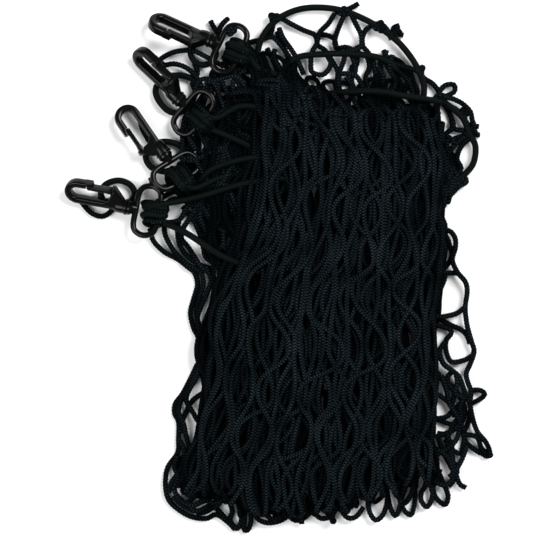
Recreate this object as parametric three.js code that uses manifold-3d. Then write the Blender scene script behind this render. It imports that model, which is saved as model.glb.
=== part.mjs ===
// Dog car barrier net, folded flat: a knotless diamond net laid back and forth in four layers, with an elastic
// cord at its border and four plastic swivel snap hooks.
// Millimetres. +X is across the bundle, +Y points to the elastic arch, +Z is up, and z = 0 is the surface below.
import * as THREE from 'three';
import { mergeVertices } from 'three/addons/utils/BufferGeometryUtils.js';
import Module from 'manifold-3d';

const wasm = await Module();
wasm.setup();

// Net
const CORD_THICKNESS = 3.0;
const JOINT_HALF_LENGTH = 4.0;
const JOINT_HALF_WIDTH = 2.6;
const NET_COLUMNS = 10;
const SCATTER_ACROSS = 1.6;
const SCATTER_ALONG = 3.0;
const STEPS_ROUND_FOLD = 3;
const ARCH_REACH = 55;
const FOOT_BOW = 9;
const FOOT_WAVE = 1.6;
const FOOT_WAVES = 5;
const FOOT_START = -100;

// The four layers, from the one on the surface to the top one. z is a layer's mid-plane at its sides and lift is
// how much higher its middle lies. rows counts its rows of joints, and turn is the y where it folds into the next.
// A section gives the layer's left and right edge at one y, in the order in which the net runs.
const LAYERS = [
  {
    z: CORD_THICKNESS / 2, lift: 0, rows: 8, turn: -161.5,
    sections: [
      { y: 116, left: -8, right: 92 },
      { y: 98, left: -34, right: 126 },
      { y: 78, left: -44, right: 138 },
      { y: 52, left: -56, right: 126 },
      { y: 34, left: -71, right: 109 },
      { y: 6, left: -62, right: 113 },
      { y: -20, left: -49, right: 117 },
      { y: -60, left: -48, right: 121 },
      { y: -90, left: -59, right: 123 },
      { y: -116, left: -63, right: 131 },
      { y: -140, left: -68, right: 113 },
      { y: -160, left: -56, right: 104 },
    ],
  },
  {
    z: 6.3, lift: 0.5, rows: 7, turn: 101,
    sections: [
      { y: -160, left: -56, right: 104 },
      { y: -110, left: -57, right: 108 },
      { y: -60, left: -46, right: 107 },
      { y: -20, left: -45, right: 106 },
      { y: 12, left: -48, right: 102 },
      { y: 45, left: -40, right: 106 },
      { y: 75, left: -36, right: 108 },
      { y: 98, left: -26, right: 96 },
    ],
  },
  {
    z: 11.2, lift: 1.2, rows: 7, turn: -157,
    sections: [
      { y: 98, left: -12, right: 98 },
      { y: 60, left: -13, right: 107 },
      { y: 30, left: -16, right: 103 },
      { y: 0, left: -32, right: 100 },
      { y: -30, left: -44, right: 101 },
      { y: -70, left: -47, right: 101 },
      { y: -110, left: -54, right: 105 },
      { y: -154, left: -55, right: 103 },
    ],
  },
  {
    z: 16.2, lift: 2.4, rows: 8,
    sections: [
      { y: -154, left: -55, right: 103 },
      { y: -110, left: -54, right: 107 },
      { y: -70, left: -48, right: 102 },
      { y: -30, left: -42, right: 100 },
      { y: 0, left: -24, right: 101 },
      { y: 30, left: -9, right: 103 },
      { y: 60, left: -7, right: 107 },
      { y: 90, left: -4, right: 103 },
      { y: 118, left: -6, right: 94 },
    ],
  },
];

// Elastic border cord. Where it lies on the bottom layer or on the second one, it clears the net by CLEARANCE.
const CLEARANCE = 0.3;
const ELASTIC_DIAMETER = 4;
const ELASTIC_RADIUS = ELASTIC_DIAMETER / 2;
const ELASTIC_SIDES = 8;
const ELASTIC_STEP = 9;
const LEAD_STEP = 6;
const LOOP_SPREAD = 4.2;
const LOOP_SHOULDER = 5;
const LOOP_DEPTH = 7.4;
const LOOP_ROUNDING = 0.8;
const ON_FIRST_LAYER = CORD_THICKNESS + CLEARANCE + ELASTIC_RADIUS;
const ARCH_ROUTE = [
  [-5, 111], [-10.5, 119], [-11.8, 128], [-9, 142], [-0.5, 153.5], [12, 160.3], [26, 162.2], [42.5, 160],
  [60, 152.5], [75, 142], [85.5, 129.5], [91.5, 117], [92.5, 110],
];
const INNER_ROUTE = [[8, 127], [15, 131.5], [30, 133], [45, 133.3], [60, 131.8], [70, 128.5], [76, 123]];
const SIDE_ROUTE = [[115, 88], [121, 83], [124.5, 76], [123.5, 66], [119, 59.5], [113, 55]];

// Swivel snap hook, in its own frame: x runs from the swivel to the nose, y points to the gate's side
const BAR = 4.4;
const HOOK_THICKNESS = 6;
const HOOK_CHAMFER = 1;
const LOOP_PITCH = 12;
const BEND_X = 31.9;
const NOSE_X = 22;
const LIP_LENGTH = 4.4;
const BARREL_RADIUS = 5;
const COLLAR_LENGTH = 1.8;
const COLLAR_STEP = 0.6;
const BARREL_LENGTH = 6.5;
const BARREL_END = 14;
const BAR_START = 1;
const GATE_THICKNESS = 2.6;
const GATE_WIDTH = 5;
const GATE_CHAMFER = 0.6;
const GATE_NECK = 2.4;
const GATE_TIP_GAP = 0.4;
const GATE_TIP_CUT = 0.8;
const KNUCKLE_RADIUS = 1.7;
const KNUCKLE_X = 11.4;
const GATE_Y = LOOP_PITCH - CLEARANCE - GATE_THICKNESS / 2;
const SOCKET_RADIUS = KNUCKLE_RADIUS + CLEARANCE;
const SOCKET_FROM = -0.6 * Math.PI;
const SOCKET_TO = -1.1 * Math.PI;
const CROTCH_X = BARREL_END + 0.5;
const CROTCH_FILLET = 2.4;
const CROTCH_RISE = 1.4;
const HEEL_WALL = 2.6;
const HEEL_TOP_Y = LOOP_PITCH + 1.4;
const HEEL_TOP_FROM = KNUCKLE_X - 1.2;
const HEEL_TOP_TO = KNUCKLE_X - 3.4;
const HEEL_FOOT_X = 2.2;
const HEEL_FOOT_Y = BARREL_RADIUS - 0.6;
const EYE_BAR = 3.8;
const EYE_WIDTH = 35;
const EYE_NEAR_X = -5.5;
const EYE_FAR_X = -19.7;
const EYE_CORNER = 6.4;
const EYE_CORNER_CUT = 0.3 * EYE_CORNER;
const EYE_SIDES = 8;
const EYE_STEPS = 24;
const STEM_RADIUS = 2.2;
const STEM_FLARE = 0.8;
const BULB_RADIUS = 3;
const BULB_START = 3.2;
const BULB_END = 7;
const BULB_SLOPE = 0.6;
const BULB_TAPER = 0.4;
const FLANGE_RADIUS = 4.6;
const FLANGE_X = -2.3;
const ROUND_SIDES = 12;
const BEND_SIDES = 8;
const KNUCKLE_SIDES = 6;
const MERGE_DISTANCE = 1e-4;

// Where each hook's swivel lies, the direction that its nose points in, how far its nose dips, how far its gate's
// side is turned up about the swivel (0 lies flat to the left of the nose, 180 flat to the right) and how far its
// eye is turned. The elastic comes out of the bundle, over the eye's far bar on overSide, and back out under it.
const HOOKS = [
  {
    at: [-40, 141.5, 8.2], heading: 155, dip: 6, roll: 46, eyeRoll: 6, overSide: -1,
    over: [[8, 117, 9.3], [-4, 121.5, 9.2], [-12, 125.5, 9.7]], under: [[-25, 119, 6.2], [-16, 107, 5.3]],
  },
  {
    at: [-60, 105, 8.2], heading: 137, dip: 6, roll: 125, eyeRoll: -14, overSide: -1,
    over: [[-19, 100.5, 10.8], [-28, 97.5, 12], [-36, 93, 13.8]],
    under: [[-37, 85, 9.6], [-20, 77.5, 11]],
  },
  {
    at: [-69, 70.5, 9.4], heading: 124.5, dip: 6, roll: 10, eyeRoll: 18, overSide: 1,
    over: [[-19, 60, 10.8], [-36, 55.5, 11], [-50, 49.5, 13]],
    under: [[-49, 53.5, 6.8], [-38, 62, 9.8], [-17, 68, 10.8]],
  },
  {
    at: [-92, 37.8, 8.2], heading: 170, dip: 6, roll: 142, eyeRoll: 5, overSide: -1,
    over: [[-19, 52.5, 10.8], [-48, 44, 11.2]], under: [[-56, 22, 9.4], [-34, 8, 10.8]],
  },
];

// Black net cord, smooth black elastic and half-gloss black plastic
const material = (color, roughness) => new THREE.MeshStandardMaterial({ color, roughness, metalness: 0 });

function namedMesh(name, geometry, meshMaterial) {
  const mesh = new THREE.Mesh(geometry, meshMaterial);
  mesh.name = name;
  return mesh;
}

// A solid to join or cut, without the faces that shrink to a line at a turned shape's axis
function toSolid(geometry) {
  const bare = geometry.clone();
  bare.deleteAttribute('normal');
  bare.deleteAttribute('uv');
  const merged = mergeVertices(bare, MERGE_DISTANCE);
  const corners = merged.index.array;
  const triangles = [];
  for (let k = 0; k < corners.length; k += 3) {
    const [a, b, c] = corners.slice(k, k + 3);
    if (a !== b && b !== c && c !== a) triangles.push(a, b, c);
  }
  return new wasm.Manifold(
    new wasm.Mesh({
      numProp: 3,
      vertProperties: new Float32Array(merged.attributes.position.array),
      triVerts: new Uint32Array(triangles),
    }),
  );
}

function toGeometry(solid) {
  const mesh = solid.getMesh();
  const geometry = new THREE.BufferGeometry();
  geometry.setAttribute('position', new THREE.BufferAttribute(new Float32Array(mesh.vertProperties), 3));
  geometry.setIndex(new THREE.BufferAttribute(new Uint32Array(mesh.triVerts), 1));
  geometry.computeVertexNormals();
  return geometry;
}

// The fold seen from the side: straight layers joined by half-round turns, measured along the net from its border
function foldSpans() {
  const spans = [];
  let start = 0;
  let y = LAYERS[0].sections[0].y;
  LAYERS.forEach((layer, k) => {
    const next = LAYERS[k + 1];
    const heads = k % 2 === 0 ? -1 : 1;
    const radius = next ? (next.z - layer.z) / 2 : 0;
    const last = next ? layer.turn - heads * radius : layer.sections.at(-1).y;
    const length = Math.abs(last - y);
    spans.push({ layer: k, start, length, y, heads });
    start += length;
    if (next) {
      spans.push({ layer: k, turn: true, start, length: Math.PI * radius, y: last, heads, radius });
      start += Math.PI * radius;
      y = last;
    }
  });
  return spans;
}

const SPANS = foldSpans();
const NET_LENGTH = SPANS.at(-1).start + SPANS.at(-1).length;

function edgesAt(layer, y) {
  const { sections } = LAYERS[layer];
  const heads = Math.sign(sections.at(-1).y - sections[0].y);
  let k = 0;
  while (k < sections.length - 2 && heads * (y - sections[k + 1].y) > 0) k += 1;
  const [a, b] = [sections[k], sections[k + 1]];
  const f = THREE.MathUtils.clamp((y - a.y) / (b.y - a.y), 0, 1);
  return { left: THREE.MathUtils.lerp(a.left, b.left, f), right: THREE.MathUtils.lerp(a.right, b.right, f) };
}

// Place on the fold at a distance s along the net: y, z, the edges, the lift and the face's normal
function foldAt(s) {
  const span = SPANS.findLast((each) => s >= each.start) ?? SPANS[0];
  const along = s - span.start;
  const layer = LAYERS[span.layer];
  if (!span.turn) {
    const y = span.y + span.heads * along;
    return { y, z: layer.z, lift: layer.lift, ny: 0, nz: -span.heads, ...edgesAt(span.layer, y) };
  }
  const next = LAYERS[span.layer + 1];
  const f = along / span.length;
  const angle = Math.PI * f;
  const from = edgesAt(span.layer, span.y);
  const to = edgesAt(span.layer + 1, span.y);
  return {
    y: span.y + span.heads * span.radius * Math.sin(angle),
    z: layer.z + span.radius * (1 - Math.cos(angle)),
    lift: THREE.MathUtils.lerp(layer.lift, next.lift, f),
    left: THREE.MathUtils.lerp(from.left, to.left, f),
    right: THREE.MathUtils.lerp(from.right, to.right, f),
    ny: Math.sin(angle),
    nz: -span.heads * Math.cos(angle),
  };
}

const archCurve = new THREE.CatmullRomCurve3(ARCH_ROUTE.map(([x, y]) => new THREE.Vector3(x, y, ON_FIRST_LAYER)));

// A point of the net's upper (side 1) or lower (side -1) face, at u across it and s along it. The first layer's
// free border follows the elastic arch, and the folds at the foot are bowed and wavy.
function netPoint(u, s, side) {
  const place = foldAt(s);
  const point = new THREE.Vector3(
    THREE.MathUtils.lerp(place.left, place.right, u),
    place.y,
    place.z + place.lift * Math.sin(Math.PI * THREE.MathUtils.clamp(u, 0, 1)),
  );
  const bow = FOOT_BOW * (2 * u - 1) ** 2 + FOOT_WAVE * Math.sin(2 * Math.PI * FOOT_WAVES * u);
  point.y += bow * THREE.MathUtils.smoothstep(FOOT_START - point.y, 0, FOOT_START - LAYERS[0].turn);
  const pull = 1 - THREE.MathUtils.smoothstep(s, 0, ARCH_REACH);
  const border = archCurve.getPointAt(THREE.MathUtils.clamp(u, 0, 1));
  point.x = THREE.MathUtils.lerp(point.x, border.x, pull);
  point.y = THREE.MathUtils.lerp(point.y, border.y - s, pull);
  point.y += (side * place.ny * CORD_THICKNESS) / 2;
  point.z += (side * place.nz * CORD_THICKNESS) / 2;
  return point;
}

// Where the rows of joints lie along the net: each fold falls midway between two rows
function jointRows() {
  const turns = SPANS.filter((span) => span.turn).map((span) => span.start + span.length / 2);
  const rows = [];
  LAYERS.forEach((layer, k) => {
    const start = k === 0 ? JOINT_HALF_LENGTH : turns[k - 1];
    const end = turns[k] ?? NET_LENGTH - JOINT_HALF_LENGTH;
    const free = k === 0 || k === LAYERS.length - 1;
    const pitch = (end - start) / (layer.rows - (free ? 0.5 : 0));
    const first = k === 0 ? start : start + pitch / 2;
    for (let r = 0; r < layer.rows; r += 1) rows.push(first + r * pitch);
  });
  return rows;
}

// A repeatable unevenness between -1 and 1 for each joint
const unevenness = (row, column, kind) => Math.sin(3.7 * row + 5.3 * column + 2.1 * kind + row * column);

function makeNet() {
  const corners = [];
  const faces = [];
  const corner = (u, s) => corners.push([u, s]) - 1;

  const rows = jointRows();
  const joints = rows.map((s, row) => {
    const odd = row % 2;
    const { left, right } = foldAt(s);
    const width = right - left;
    return Array.from({ length: NET_COLUMNS + 1 - odd }, (_, column) => {
      const u = (column + odd / 2) / NET_COLUMNS + (SCATTER_ACROSS * unevenness(row, column, 0)) / width;
      const at = s + (row === 0 || row === rows.length - 1 ? 0 : SCATTER_ALONG * unevenness(row, column, 1));
      const half = JOINT_HALF_WIDTH / width;
      const joint = {
        north: corner(u, at - JOINT_HALF_LENGTH),
        west: corner(u - half, at),
        south: corner(u, at + JOINT_HALF_LENGTH),
        east: corner(u + half, at),
      };
      faces.push([joint.north, joint.west, joint.south, joint.east]);
      return joint;
    });
  });

  // The places round each fold where a bar that crosses it gets a section
  const bends = SPANS.filter((span) => span.turn).flatMap((span) =>
    Array.from({ length: STEPS_ROUND_FOLD + 1 }, (_, k) => span.start + (span.length * k) / STEPS_ROUND_FOLD),
  );
  const side = (from, to) => {
    const [a, b] = [corners[from], corners[to]];
    const between = bends.filter((s) => s > a[1] && s < b[1]);
    const inner = between.map((s) => corner(a[0] + ((b[0] - a[0]) * (s - a[1])) / (b[1] - a[1]), s));
    return [from, ...inner, to];
  };
  const bar = (left, right) => {
    for (let k = 0; k + 1 < left.length; k += 1) faces.push([right[k], left[k], left[k + 1], right[k + 1]]);
  };
  for (let row = 0; row + 1 < rows.length; row += 1) {
    const odd = row % 2;
    joints[row].forEach((joint, column) => {
      const toRight = joints[row + 1][column + odd];
      const toLeft = joints[row + 1][column + odd - 1];
      if (toRight) bar(side(joint.south, toRight.west), side(joint.east, toRight.north));
      if (toLeft) bar(side(joint.west, toLeft.north), side(joint.south, toLeft.east));
    });
  }
  return thicken(corners, faces);
}

// A closed solid from a net of faces: both sides of each face, and a wall at each edge that only one face has
function thicken(corners, faces) {
  const points = [1, -1].flatMap((side) => corners.map(([u, s]) => netPoint(u, s, side)));
  const below = corners.length;
  const edges = new Set(faces.flatMap((face) => face.map((a, k) => `${a} ${face[(k + 1) % face.length]}`)));
  const index = [];
  faces.forEach((face) => {
    const [a, b, c, d] = face;
    index.push(a, b, c, a, c, d);
    index.push(below + a, below + c, below + b, below + a, below + d, below + c);
    face.forEach((p, k) => {
      const q = face[(k + 1) % face.length];
      if (!edges.has(`${q} ${p}`)) index.push(p, below + p, below + q, p, below + q, q);
    });
  });
  const geometry = new THREE.BufferGeometry().setFromPoints(points);
  geometry.setIndex(index);
  geometry.computeVertexNormals();
  return geometry;
}

function circleShape(radius, sides) {
  const points = Array.from({ length: sides }, (_, k) => {
    const angle = (2 * Math.PI * (k + 0.5)) / sides;
    return new THREE.Vector2(radius * Math.cos(angle), radius * Math.sin(angle));
  });
  return new THREE.Shape(points);
}

function makeElastic(points, step) {
  const extrudePath = new THREE.CatmullRomCurve3(points);
  const steps = Math.ceil(extrudePath.getLength() / step);
  return new THREE.ExtrudeGeometry(circleShape(ELASTIC_RADIUS, ELASTIC_SIDES), { extrudePath, steps });
}

const onFirstLayer = (route) => route.map(([x, y]) => new THREE.Vector3(x, y, ON_FIRST_LAYER));

// A solid turned about the hook's x axis, from pairs of place along it and radius
function turned(profile, sides) {
  const points = profile.map(([x, radius]) => new THREE.Vector2(radius, x));
  return new THREE.LatheGeometry(points, sides).rotateZ(-Math.PI / 2);
}

function chamferedPlate(shape, thickness, chamfer, curveSegments) {
  const geometry = new THREE.ExtrudeGeometry(shape, {
    depth: thickness - 2 * chamfer,
    bevelThickness: chamfer,
    bevelSize: chamfer,
    bevelOffset: -chamfer,
    bevelSegments: 1,
    curveSegments,
  });
  return geometry.translate(0, 0, chamfer - thickness / 2);
}

// The hook's bar in one outline: spine, round bend, nose with its lip, and the heel that carries the gate
function makeHookBody() {
  const half = BAR / 2;
  const centreY = LOOP_PITCH / 2;
  const outer = centreY + half;
  const inner = centreY - half;
  const shape = new THREE.Shape();
  shape.moveTo(BAR_START, -half);
  shape.lineTo(BEND_X, -half);
  shape.absarc(BEND_X, centreY, outer, -Math.PI / 2, Math.PI / 2, false);
  shape.lineTo(NOSE_X, LOOP_PITCH + half);
  shape.lineTo(NOSE_X, LOOP_PITCH);
  shape.lineTo(NOSE_X + LIP_LENGTH, LOOP_PITCH);
  shape.lineTo(NOSE_X + LIP_LENGTH, LOOP_PITCH - half);
  shape.lineTo(BEND_X, LOOP_PITCH - half);
  shape.absarc(BEND_X, centreY, inner, Math.PI / 2, -Math.PI / 2, true);
  shape.lineTo(CROTCH_X, half);
  shape.lineTo(CROTCH_X - CROTCH_FILLET, half + CROTCH_RISE);
  shape.lineTo(KNUCKLE_X - CLEARANCE, GATE_Y - SOCKET_RADIUS - HEEL_WALL);
  shape.absarc(KNUCKLE_X, GATE_Y, SOCKET_RADIUS, SOCKET_FROM, SOCKET_TO, true);
  shape.lineTo(HEEL_TOP_FROM, HEEL_TOP_Y);
  shape.lineTo(HEEL_TOP_TO, HEEL_TOP_Y);
  shape.lineTo(HEEL_FOOT_X, HEEL_FOOT_Y);
  shape.lineTo(BAR_START, half);
  const bar = toSolid(chamferedPlate(shape, HOOK_THICKNESS, HOOK_CHAMFER, BEND_SIDES));
  const drumRadius = BARREL_RADIUS - COLLAR_STEP;
  const drum = [
    [0, 0], [0, BARREL_RADIUS], [COLLAR_LENGTH, BARREL_RADIUS], [COLLAR_LENGTH, drumRadius],
    [BARREL_LENGTH, drumRadius], [BARREL_END, 0],
  ];
  const barrel = toSolid(turned(drum, ROUND_SIDES));
  const room = [
    [-BAR_START, 0], [-BAR_START, STEM_RADIUS + CLEARANCE], [BULB_START - CLEARANCE, STEM_RADIUS + CLEARANCE],
    [BULB_START, BULB_RADIUS + CLEARANCE], [BULB_END, BULB_RADIUS + CLEARANCE], [BULB_END + CLEARANCE, 0],
  ];
  return toGeometry(barrel.add(bar).subtract(toSolid(turned(room, ROUND_SIDES))));
}

// The sprung tongue that closes the hook: a round root in the heel's socket and a tip under the nose's lip
function makeGate() {
  const low = GATE_Y - GATE_THICKNESS / 2;
  const high = GATE_Y + GATE_THICKNESS / 2;
  const tip = NOSE_X + LIP_LENGTH - GATE_TIP_GAP;
  const shape = new THREE.Shape();
  shape.moveTo(KNUCKLE_X, GATE_Y - KNUCKLE_RADIUS);
  shape.lineTo(KNUCKLE_X + GATE_NECK, low);
  shape.lineTo(tip - GATE_TIP_CUT, low);
  shape.lineTo(tip, low + GATE_TIP_CUT);
  shape.lineTo(tip, high);
  shape.lineTo(KNUCKLE_X + GATE_NECK, high);
  shape.absarc(KNUCKLE_X, GATE_Y, KNUCKLE_RADIUS, Math.PI / 2, 1.5 * Math.PI, false);
  return chamferedPlate(shape, GATE_WIDTH, GATE_CHAMFER, KNUCKLE_SIDES);
}

// The wide eye: a rounded ring on a flanged stem whose bulb turns in the barrel
function makeEye() {
  const halfWidth = (EYE_WIDTH - EYE_BAR) / 2;
  const middleX = (EYE_NEAR_X + EYE_FAR_X) / 2;
  const ring = [
    [EYE_NEAR_X, 0], [EYE_NEAR_X, halfWidth - EYE_CORNER],
    [EYE_NEAR_X - EYE_CORNER_CUT, halfWidth - EYE_CORNER_CUT], [middleX, halfWidth],
    [EYE_FAR_X + EYE_CORNER_CUT, halfWidth - EYE_CORNER_CUT], [EYE_FAR_X, halfWidth - EYE_CORNER],
  ];
  const mirrored = ring.slice(1).reverse().map(([x, y]) => [x, -y]);
  const path = [...ring, [EYE_FAR_X, 0], ...mirrored].map(([x, y]) => new THREE.Vector3(x, y, 0));
  const curve = new THREE.CatmullRomCurve3(path, true);
  const loop = toSolid(new THREE.TubeGeometry(curve, EYE_STEPS, EYE_BAR / 2, EYE_SIDES, true));
  const stem = [
    [EYE_NEAR_X, 0], [EYE_NEAR_X, STEM_RADIUS], [FLANGE_X, STEM_RADIUS + STEM_FLARE], [FLANGE_X, FLANGE_RADIUS],
    [-CLEARANCE, FLANGE_RADIUS], [-CLEARANCE, STEM_RADIUS], [BULB_START, STEM_RADIUS],
    [BULB_START + BULB_SLOPE, BULB_RADIUS], [BULB_END - CLEARANCE, BULB_RADIUS - BULB_TAPER],
    [BULB_END - CLEARANCE, 0],
  ];
  return toGeometry(loop.add(toSolid(turned(stem, ROUND_SIDES))));
}

// The loop that the elastic makes through an eye, from over its far bar to under it, in the eye's frame
function eyeLoop(overSide) {
  const reach = EYE_BAR / 2 + ELASTIC_RADIUS + 2 * CLEARANCE;
  return [
    { x: 0, y: LOOP_SPREAD, z: reach },
    { x: LOOP_SHOULDER, y: LOOP_SPREAD / 2, z: LOOP_ROUNDING * reach },
    { x: LOOP_DEPTH, y: 0, z: 0 },
    { x: LOOP_SHOULDER, y: -LOOP_SPREAD / 2, z: -LOOP_ROUNDING * reach },
    { x: 0, y: -LOOP_SPREAD, z: -reach },
  ].map(({ x, y, z }) => new THREE.Vector3(EYE_FAR_X + x, overSide * y, z));
}

const part = new THREE.Group();
const cordBlack = material('#191c1f', 0.9);
const elasticBlack = material('#141716', 0.6);
const plasticBlack = material('#17181a', 0.38);

part.add(namedMesh('net', makeNet(), cordBlack));
part.add(namedMesh('elastic_arch', makeElastic(onFirstLayer(ARCH_ROUTE), ELASTIC_STEP), elasticBlack));
part.add(namedMesh('elastic_inner', makeElastic(onFirstLayer(INNER_ROUTE), ELASTIC_STEP), elasticBlack));
part.add(namedMesh('elastic_side', makeElastic(onFirstLayer(SIDE_ROUTE), ELASTIC_STEP), elasticBlack));

const bodyGeometry = makeHookBody();
const gateGeometry = makeGate();
const eyeGeometry = makeEye();
const { degToRad } = THREE.MathUtils;

HOOKS.forEach(({ at, heading, dip, roll, eyeRoll, overSide, over, under }, k) => {
  const name = `hook_${k + 1}`;
  const hook = new THREE.Group();
  hook.position.set(...at);
  hook.rotation.set(0, degToRad(dip), degToRad(heading), 'ZYX');
  const turning = new THREE.Group();
  turning.rotation.x = degToRad(roll);
  turning.add(namedMesh(`${name}_body`, bodyGeometry, plasticBlack));
  turning.add(namedMesh(`${name}_gate`, gateGeometry, plasticBlack));
  const eye = namedMesh(`${name}_eye`, eyeGeometry, plasticBlack);
  eye.rotation.x = degToRad(eyeRoll);
  hook.add(turning, eye);
  part.add(hook);

  eye.updateWorldMatrix(true, false);
  const through = eyeLoop(overSide).map((point) => point.applyMatrix4(eye.matrixWorld));
  const legs = [over, under].map((leg) => leg.map((point) => new THREE.Vector3(...point)));
  const lead = makeElastic([...legs[0], ...through, ...legs[1]], LEAD_STEP);
  part.add(namedMesh(`elastic_lead_${k + 1}`, lead, elasticBlack));
});

export default part;
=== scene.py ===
import math

import bpy
import numpy as np
from mathutils import Matrix, Vector


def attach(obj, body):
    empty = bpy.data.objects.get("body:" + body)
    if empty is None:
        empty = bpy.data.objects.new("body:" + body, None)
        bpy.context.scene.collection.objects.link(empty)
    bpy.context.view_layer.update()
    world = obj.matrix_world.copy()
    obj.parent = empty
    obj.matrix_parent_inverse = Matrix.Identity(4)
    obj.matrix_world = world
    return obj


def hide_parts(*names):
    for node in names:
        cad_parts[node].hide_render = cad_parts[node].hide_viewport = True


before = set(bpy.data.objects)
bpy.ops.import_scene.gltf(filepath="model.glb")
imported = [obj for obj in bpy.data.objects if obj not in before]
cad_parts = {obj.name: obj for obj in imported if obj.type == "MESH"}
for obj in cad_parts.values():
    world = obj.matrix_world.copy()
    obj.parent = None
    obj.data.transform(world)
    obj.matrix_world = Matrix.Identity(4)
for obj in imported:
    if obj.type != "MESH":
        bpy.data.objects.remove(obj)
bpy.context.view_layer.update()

SEED = 11
rng = np.random.default_rng(SEED)

# Sizes are in millimetres. Loose cords are placed in photo pixels, and SCALE turns those into millimetres.
MM = 0.001
PHOTO_SIDE = 540
SCALE = 0.62
CENTRE_X = 275.5
CENTRE_Y = 268.0
CORD = 3.0
ELASTIC = 4.0


def at(px, py, z):
    return ((px - CENTRE_X) * SCALE, (CENTRE_Y - py) * SCALE, z)


def route(rows):
    return np.array([at(*row) for row in rows], float)


def add_object(name, data):
    obj = bpy.data.objects.new(name, data)
    bpy.context.scene.collection.objects.link(obj)
    return obj


# Camera straight above, with the photo's frame
CAMERA_HEIGHT = 1600.0
CAMERA_REACH = 10000.0
NET_MIDDLE_Z = 12.0
SENSOR_WIDTH = 36.0
camera_data = bpy.data.cameras.new("camera")
camera_data.sensor_width = SENSOR_WIDTH
camera_data.lens = SENSOR_WIDTH * (CAMERA_HEIGHT - NET_MIDDLE_Z) / (PHOTO_SIDE * SCALE)
camera_data.clip_end = MM * CAMERA_REACH
camera = add_object("camera", camera_data)
camera.location = MM * Vector(at(PHOTO_SIDE / 2, PHOTO_SIDE / 2, CAMERA_HEIGHT))
bpy.context.scene.camera = camera


# Lines, cords and solid forms
TINY = 1e-9
CURVE_STEPS = 12
CURVE_PULL = 1.15
LEAST_POINTS = 4
LEAST_STEPS = 3
STEEP = 0.9
BAR_SIDES = 20
TURNED_SIDES = 32
EDGE_TURN = np.radians([0, 30, 60, 90])
SHARP_ANGLE = math.radians(40)


def unit(v):
    return v / np.maximum(np.linalg.norm(v, axis=-1, keepdims=True), TINY)


def lengths(line):
    """The distance along a line to each of its points."""
    return np.concatenate([[0], np.cumsum(np.linalg.norm(np.diff(line, axis=0), axis=1))])


def smooth(points, step, closed=False):
    """A rounded line through the points, with a point about every step."""
    p = np.asarray(points, float)
    if closed:
        p = np.vstack([p[-1], p, p[0], p[1]])
    else:
        p = np.vstack([2 * p[0] - p[1], p, 2 * p[-1] - p[-2]])
    t = np.linspace(0, 1, CURVE_STEPS + 1)[:-1, None]
    a, b, c, d = p[:-3, None], p[1:-2, None], p[2:-1, None], p[3:, None]
    fine = 0.5 * (2 * b + (c - a) * t + (2 * a - 5 * b + 4 * c - d) * t**2 + (3 * b - a - 3 * c + d) * t**3)
    fine = np.vstack([fine.reshape(-1, 3), p[-2]])
    length = lengths(fine)
    count = max(LEAST_POINTS, int(round(length[-1] / step)) + 1)
    even = np.linspace(0, length[-1], count)
    return np.stack([np.interp(even, length, fine[:, k]) for k in range(3)], 1)


def s_curves(points, ways, step):
    """A line through the points that follows the given way at each, with a point about every step."""
    points, ways = np.asarray(points, float), np.asarray(ways, float)
    out = []
    for k in range(len(points) - 1):
        a, b = points[k], points[k + 1]
        span = np.linalg.norm(b - a)
        count = max(LEAST_STEPS, int(round(span / step)))
        pull = span * CURVE_PULL
        t = np.arange(count)[:, None] / count
        out.append((2 * t**3 - 3 * t**2 + 1) * a + (t**3 - 2 * t**2 + t) * ways[k] * pull
                   + (3 * t**2 - 2 * t**3) * b + (t**3 - t**2) * ways[k + 1] * pull)
    out.append(points[-1:])
    return np.vstack(out)


def ring_points(line, radius, sides):
    """The points round a line, ring by ring, without twist."""
    tangent = unit(np.gradient(line, axis=0))
    normal = np.zeros_like(line)
    up = np.array([0, 0, 1.0]) if abs(tangent[0, 2]) < STEEP else np.array([1.0, 0, 0])
    for k, way in enumerate(tangent):
        up = unit(up - way * (up @ way))
        normal[k] = up
    other = np.cross(tangent, normal)
    turn = 2 * math.pi * np.arange(sides)[:, None] / sides
    spokes = np.cos(turn) * normal[:, None] + np.sin(turn) * other[:, None]
    return line[:, None] + radius[:, None, None] * spokes


def cord_piece(name, lines, diameter, sides, material, body="bundle", bead=0.0):
    """Round cords as one piece. Its UV map holds the millimetres along a cord and the share of a turn round
    it. A bead above 0 swells every other ring by that share and narrows the rest."""
    around = np.arange(sides)
    after = (around + 1) % sides
    share = around / sides
    verts, quads, caps, uvs = [], [], [], []
    base = 0
    for line in lines:
        rings = len(line)
        radius = diameter / 2 * (1 + bead * np.where(np.arange(rings) % 2, 1, -1))
        verts.append(ring_points(line, radius, sides).reshape(-1, 3))
        first = base + np.arange(rings - 1)[:, None] * sides
        second = first + sides
        faces = np.stack([first + around, first + after, second + after, second + around], -1)
        quads.append(faces.reshape(-1, 4))
        caps += [base + around[::-1], base + (rings - 1) * sides + around]
        length = lengths(line)[:, None] + 0 * share
        u = np.stack([length[:-1], length[:-1], length[1:], length[1:]], -1)
        v = np.stack([share, share + 1 / sides, share + 1 / sides, share], -1)
        uvs.append(np.stack([u, np.broadcast_to(v, u.shape)], -1).reshape(-1, 2))
        base += rings * sides
    quads, caps = np.vstack(quads), np.vstack(caps)
    mesh = bpy.data.meshes.new(name)
    mesh.from_pydata(np.vstack(verts) * MM, [], quads.tolist() + caps.tolist())
    flat = np.zeros((quads.size + caps.size, 2), np.float32)
    flat[: quads.size] = np.vstack(uvs)
    mesh.uv_layers.new(name="cord").data.foreach_set("uv", flat.ravel())
    return add_piece(name, mesh, material, body)


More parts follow.
